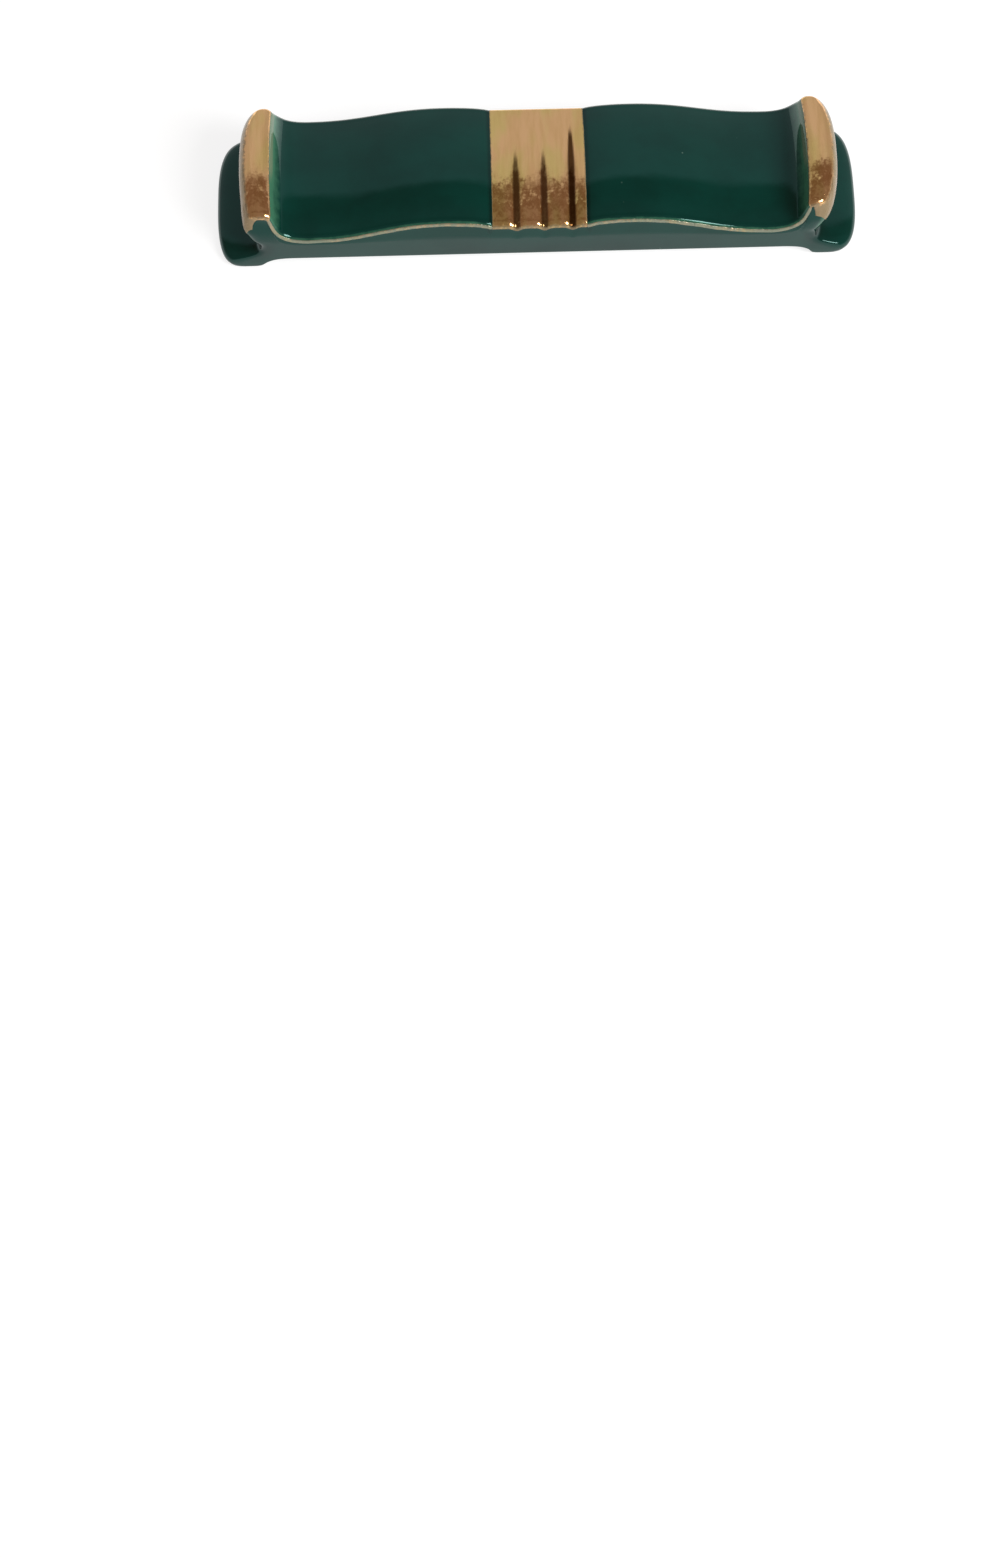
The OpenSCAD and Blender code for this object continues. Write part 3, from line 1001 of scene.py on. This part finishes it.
def glaze_material(ripple, edge_mask, marks):
    """Deep green glaze, darker where it pools and where shade is painted on the side walls, paler where it
    runs thin, up to the scrolls and beside the band, with a painted highlight along the scrolls.
    """
    material, tree, shader = new_material(
        "green_glaze_look", GLAZE_PLAIN, IOR=1.48, Specular_Tint=GLAZE_SHEEN)
    vector = object_vector(tree)
    pool_share, cloud_share, ridge_highlight_share, speck_share, speck_depth = 0.8, 0.35, 0.7, 0.7, 0.2
    # Thin glaze, paler places, and the painted highlight along the scrolls
    thin = attribute(tree, "thin")
    [pale_mask] = add_group(tree, edge_mask, ["Mask"], Vector=vector, Edge=thin, Scale=700.0, Breakup=0.35)
    cloud = noise_in(tree, vector, scale=110.0, detail=4.0, roughness=0.55, stretch=(1.0, 1.4, 1.0))
    cloud = cloud.rising(start=0.36, full=0.68)
    # Thick glaze, and painted shade on the side walls, darken the green
    pool_and_shade = (attribute(tree, "pool_and_shade") * pool_share + cloud * cloud_share).calc("MINIMUM", 1.0)
    colour = colour_mix(tree, GLAZE_BODY, GLAZE_THICK_AND_SHADED, pool_and_shade)
    colour = colour_mix(tree, colour, GLAZE_PALE, pale_mask)
    # Painted highlight on the ridge along each scroll
    colour = colour_mix(tree, colour, GLAZE_RIDGE_HIGHLIGHT, thin.rising(start=0.82, full=1.0) * ridge_highlight_share)
    roughness, specks = add_group(
        tree, marks, ["Roughness", "Specks"], Vector=vector, Smooth=0.035, Rough=0.09, Scale=230.0)
    colour = colour_mix(tree, colour, GLAZE_SPECK, specks * speck_share)
    [waves] = add_group(
        tree, ripple, ["Height"], Vector=vector, Slow_scale=170.0, Fine_scale=800.0, Fine_share=0.08)
    finish_surface(tree, shader, colour, roughness, waves - specks * speck_depth, depth=0.05)
    return material


def gold_material(name, groups, worn_and_dimmed_colour, thinness_of_gold=0.0):
    """Gold lustre; where it is thin, the glaze shows through and greys it. Its rim is worn, and darkened
    where a dimming of its reflection is painted.
    """
    ripple, streaks, edge_mask, marks = groups
    material, tree, shader = new_material(name, GOLD_PLAIN)
    vector = object_vector(tree)
    stroke_share, groove_share, patch_share, worn_share = 0.35, 0.95, 0.3, 0.9
    worn_dullness, worn_roughness = 0.6, 0.12
    wave_height, stroke_height, dent_height = 0.9, 0.6, 2.6

    drift = noise_in(tree, vector, scale=300.0, stretch=(1.0, 0.35, 0.4)).rising(start=0.38, full=0.62)
    colour = colour_mix(tree, GOLD_PEACH, GOLD_OLIVE, drift)
    strokes, stroke_mask = add_group(tree, streaks, ["Height", "Mask"], Vector=vector, Streak_scale=1300.0)
    colour = colour_mix(tree, colour, GOLD_STROKE, stroke_mask * stroke_share)
    # Painted dark reflection in the bottoms of the grooves
    colour = colour_mix(tree, colour, GOLD_DARK_REFLECTION, attribute(tree, "dip") * groove_share)
    # Worn rim of the gold, with a painted dimming of its reflection round the edge and on the outer side of
    # the scrolls
    [worn_and_dimmed] = add_group(
        tree, edge_mask, ["Mask"], Vector=vector, Edge=attribute(tree, "rim"), Scale=1500.0, Breakup=0.9)
    if thinness_of_gold:
        patches = noise_in(tree, vector, scale=260.0, detail=3.0, roughness=0.6, stretch=(1.0, 0.5, 0.5))
        patches = patches.rising(start=0.35, full=0.65)
        worn_and_dimmed = worn_and_dimmed.calc("MAXIMUM", patches * patch_share + thinness_of_gold)
    colour = colour_mix(tree, colour, worn_and_dimmed_colour, worn_and_dimmed * worn_share)
    feed(tree, shader.inputs["Metallic"], 1.0 - worn_and_dimmed * worn_dullness)
    [roughness] = add_group(tree, marks, ["Roughness"], Vector=vector, Smooth=0.1, Rough=0.22, Scale=420.0)
    [waves] = add_group(
        tree, ripple, ["Height"], Vector=vector, Slow_scale=420.0, Fine_scale=2600.0, Fine_share=0.12)
    dents = noise_in(tree, vector, scale=1100.0, stretch=(1.0, 0.5, 0.5)) * attribute(tree, "front")
    height = waves * wave_height + strokes * stroke_height + dents * dent_height
    finish_surface(tree, shader, colour, roughness + worn_and_dimmed * worn_roughness, height, depth=0.06)
    return material


def biscuit_material(ripple, marks):
    """Bare fired clay, dull and a little stained."""
    material, tree, shader = new_material("biscuit_look", CLAY_PLAIN)
    vector = object_vector(tree)
    stain_share, speck_share = 0.6, 0.8
    cloud = noise_in(tree, vector, scale=330.0, detail=6.0, roughness=0.65).rising(start=0.42, full=0.78)
    colour = colour_mix(tree, CLAY, CLAY_STAIN, cloud * stain_share)
    roughness, specks = add_group(
        tree, marks, ["Roughness", "Specks"], Vector=vector, Smooth=0.62, Rough=0.85, Scale=600.0)
    colour = colour_mix(tree, colour, CLAY_SPECK, specks * speck_share)
    [grain] = add_group(
        tree, ripple, ["Height"], Vector=vector, Slow_scale=900.0, Fine_scale=4200.0, Fine_share=0.7)
    finish_surface(tree, shader, colour, roughness, grain, depth=0.06)
    return material


# Pieces

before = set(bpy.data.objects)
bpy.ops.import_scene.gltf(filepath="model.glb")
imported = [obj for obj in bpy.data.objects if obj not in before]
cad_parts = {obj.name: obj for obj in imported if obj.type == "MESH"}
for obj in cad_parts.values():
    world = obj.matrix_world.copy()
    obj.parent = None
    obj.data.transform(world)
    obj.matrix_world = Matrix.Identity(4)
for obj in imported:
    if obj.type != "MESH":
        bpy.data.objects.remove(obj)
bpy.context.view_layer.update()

RIPPLE, STREAKS, EDGE_MASK, MARKS = ripple_group(), streak_group(), edge_mask_group(), marks_group()
GLAZE = glaze_material(RIPPLE, EDGE_MASK, MARKS)
GOLD = gold_material("gilding_look", (RIPPLE, STREAKS, EDGE_MASK, MARKS), GOLD_WORN_AND_DIMMED)
THIN_GOLD = gold_material("thin_gilding_look", (RIPPLE, STREAKS, EDGE_MASK, MARKS), LINE_WORN, LINE_THINNESS)
BISCUIT = biscuit_material(RIPPLE, MARKS)
SHAPE = shape_tree()
SIDES = ("left", "right")


def show_clay():
    """The CAD body stays, and its dry patches show under the feet."""
    for slot_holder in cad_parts["biscuit_body"].material_slots:
        slot_holder.material = BISCUIT


def glaze_body():
    """The green glaze over the whole body."""
    glaze = formed(body_template(), "glaze_surface", SHAPE, GLAZE)
    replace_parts(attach(glaze, "root"), "glaze_coat")


def gild(name, node, columns_at, rows, look, lift, **sizes):
    """One leaf of gold, in place of the node."""
    piece = formed(leaf_template(columns_at, rows, lift), name, SHAPE, look, **sizes)
    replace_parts(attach(piece, "root"), node)


def column_at(side, step):
    """Column of the loop that lies so many points outwards from the band."""
    return FIRST_BAND - step if side == "left" else LAST_BAND + step


def straight(first, last):
    """Columns of a leaf whose two ends run straight across the rest."""
    columns = list(range(first, last + 1))
    return lambda turn: columns


def slanted(inner, outer):
    """Columns of a leaf whose outer end draws back as it runs round the edge."""
    steps = abs(outer - inner)

    def columns_at(turn):
        end = mix(outer, inner, DRAWN_BACK * ramp(0.0, QUARTER, turn))
        columns = [mix(inner, end, k / steps) for k in range(steps + 1)]
        return columns if outer > inner else columns[::-1]

    return columns_at


def gild_band():
    """The gold over the fluted middle."""
    leaf = straight(FIRST_BAND, LAST_BAND)
    gild("gilding_on_ribs", "gilt_band", leaf, ROWS, GOLD, GILT_LIFT, Edge_wobble=GILT_WOBBLE)


def gild_scroll(side):
    """The gold over one scroll."""
    leaf = slanted(column_at(side, GILT_START), column_at(side, GILT_END))
    name, node = f"gilding_on_{side}_scroll", f"gilt_scroll_{side}"
    gild(name, node, leaf, ROWS, GOLD, GILT_LIFT, Edge_wobble=GILT_WOBBLE)


def gild_line(word, way, side):
    """The thin gold line along one half of the front or the back edge."""
    rows = [(way, math.radians(angle)) for angle in LINE_ANGLES]
    if way > 0:
        rows.reverse()
    leaf = straight(*sorted((column_at(side, LINE_START), column_at(side, LINE_END))))
    name, node = f"{word}_line_{side}", f"gilt_line_{word}_{side}"
    gild(name, node, leaf, rows, THIN_GOLD, LINE_LIFT, Line_wobble=LINE_WOBBLE)


show_clay()
glaze_body()
gild_band()
for side in SIDES:
    gild_scroll(side)
for word, way in (("front", -1.0), ("back", 1.0)):
    for side in SIDES:
        gild_line(word, way, side)


# Stage


def floor_material():
    """Pale floor that is white where it is seen and plainer as a source of light."""
    material, tree, shader = new_material(
        "floor_look", FLOOR_PLAIN, Roughness=0.9, Specular_IOR_Level=0.0, Emission_Strength=FLOOR_GLOW)
    path = tree.nodes.new("ShaderNodeLightPath")
    seen = Term(tree, path.outputs["Is Camera Ray"])
    for ray in ("Is Glossy Ray", "Is Transmission Ray"):
        seen = seen.calc("MAXIMUM", Term(tree, path.outputs[ray]))
    feed(tree, shader.inputs["Base Color"], colour_mix(tree, FLOOR_PLAIN, FLOOR_SEEN, seen))
    feed(tree, shader.inputs["Emission Color"], colour_mix(tree, BLACK, WHITE, seen))
    return material


def add_floor():
    mesh = bpy.data.meshes.new("floor")
    corners = [(x * FLOOR_HALF, y * FLOOR_HALF, 0) for x, y in ((-1, -1), (1, -1), (1, 1), (-1, 1))]
    mesh.from_pydata(corners, [], [(0, 1, 2, 3)])
    mesh.materials.append(floor_material())
    floor = linked(bpy.data.objects.new("floor", mesh))


def add_room():
    """A room that is pale behind, low down and a little in front, with a darker ceiling."""
    world = bpy.data.worlds.new("room")
    bpy.context.scene.world = world
    world.use_nodes = True
    tree = world.node_tree
    coordinates = tree.nodes.new("ShaderNodeTexCoord")
    split = add_node(tree, "ShaderNodeSeparateXYZ", Vector=coordinates.outputs["Generated"])
    x, y, z = [Term(tree, split.outputs[label]) for label in ("X", "Y", "Z")]
    behind = (y + x * FAR_SKEW).rising(FAR_START, FAR_FULL)
    low = z.falling(LOW_START, LOW_FULL)
    near = y.falling(NEAR_START, NEAR_FULL) * NEAR_PALENESS
    sides = x.size().rising(SIDES_START, SIDES_FULL) * SIDES_DIMMING
    pale = behind.calc("MAXIMUM", low).calc("MAXIMUM", near) * (1.0 - sides)
    feed(tree, tree.nodes["Background"].inputs["Color"], colour_mix(tree, ROOM_DARK, ROOM_BRIGHT, pale))


def add_window():
    """A soft rectangular light that faces the rest."""
    data = bpy.data.lights.new("window", "AREA")
    data.shape = "RECTANGLE"
    data.size, data.size_y = WINDOW_WIDTH, WINDOW_HEIGHT
    data.energy = WINDOW_POWER
    light = linked(bpy.data.objects.new("window", data))
    light.location = WINDOW_PLACE
    light.rotation_euler = (Vector(WINDOW_AIM) - Vector(WINDOW_PLACE)).to_track_quat("-Z", "Y").to_euler()


def add_camera():
    data = bpy.data.cameras.new("photo_view")
    data.sensor_fit = "VERTICAL"
    data.sensor_height = SENSOR
    data.lens = FOCAL_PIXELS / PICTURE_HEIGHT * SENSOR
    data.clip_start = CAMERA_NEAR * MM
    camera = linked(bpy.data.objects.new("photo_view", data))
    camera.location = [value * MM for value in CAMERA_PLACE]
    camera.rotation_euler = (math.radians(CAMERA_TILT), 0.0, math.radians(CAMERA_TURN))
    bpy.context.scene.camera = camera


add_floor()
add_room()
add_window()
add_camera()
bpy.context.scene.view_settings.view_transform = "Standard"

bpy.context.view_layer.update()
